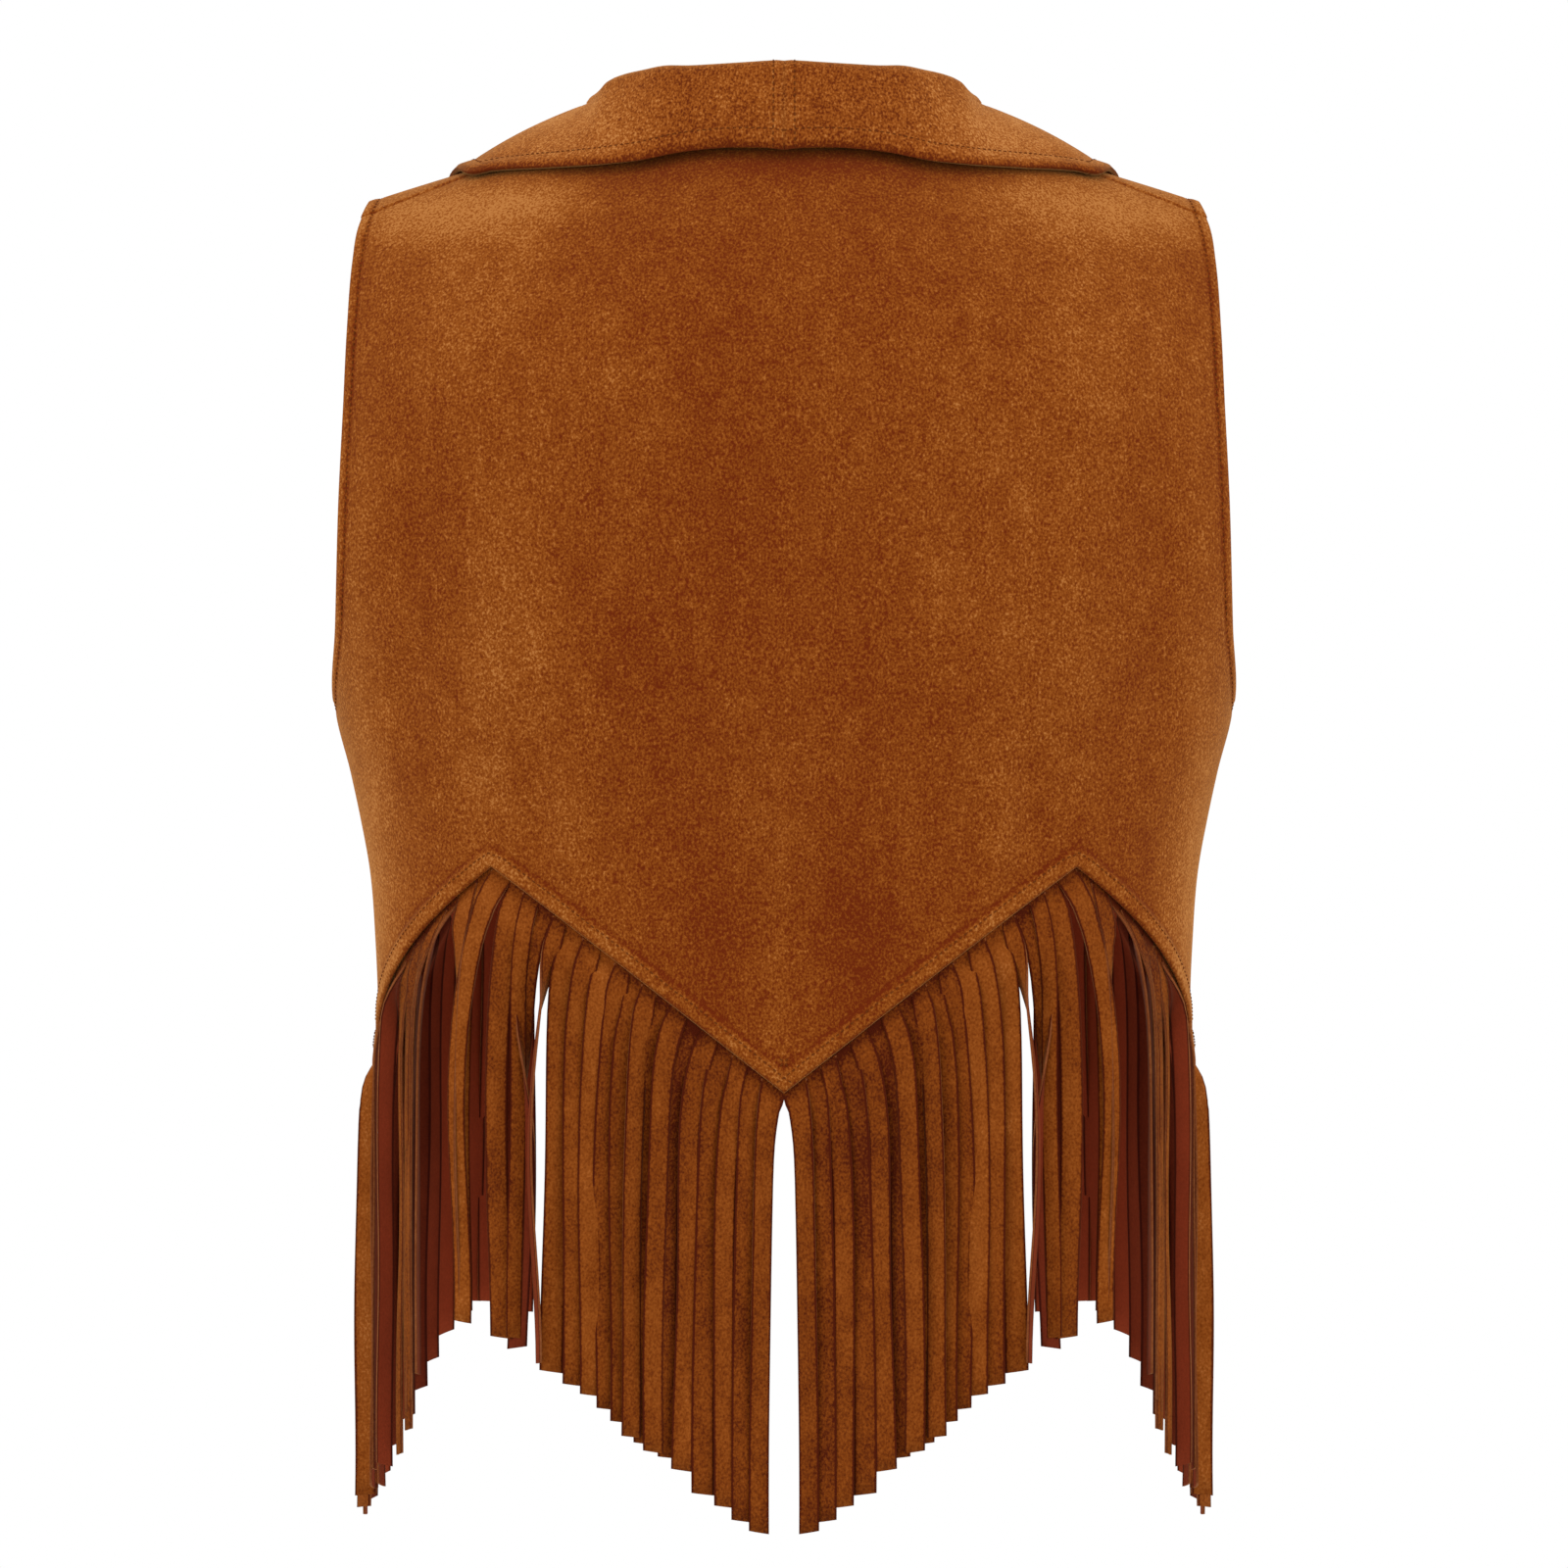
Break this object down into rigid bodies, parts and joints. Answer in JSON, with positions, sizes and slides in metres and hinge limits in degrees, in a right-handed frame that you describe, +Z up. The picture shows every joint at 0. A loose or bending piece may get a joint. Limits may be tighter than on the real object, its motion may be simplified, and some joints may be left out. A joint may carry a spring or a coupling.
{
  "type": "fringed western vest",
  "caption": "Women's suede-look western vest with a turned-down collar, W-shaped hem and long cut fringe, in the hollow form it has when worn open.",
  "frame": {"origin": "midway between the two neck points, at the height where the wearer's shoulders carry the vest", "axes": "+Z up, +Y to the wearer's back, -Y to the open front, +X to the wearer's left"},
  "size_m": [0.3846, 0.2252, 0.6209],
  "materials": {
    "panel_suede": "brushed nap, matte",
    "collar_suede": "brushed nap, matte",
    "fringe_suede": "brushed nap, matte, dark maroon wrong side"
  },
  "bodies": {
    "root": {"back_panel": "panel_suede", "front_left": "panel_suede", "front_right": "panel_suede", "collar_left": "collar_suede", "collar_right": "collar_suede", "fringe_back": "fringe_suede", "fringe_front_left": "fringe_suede", "fringe_front_right": "fringe_suede"}
  },
  "joints": []
}
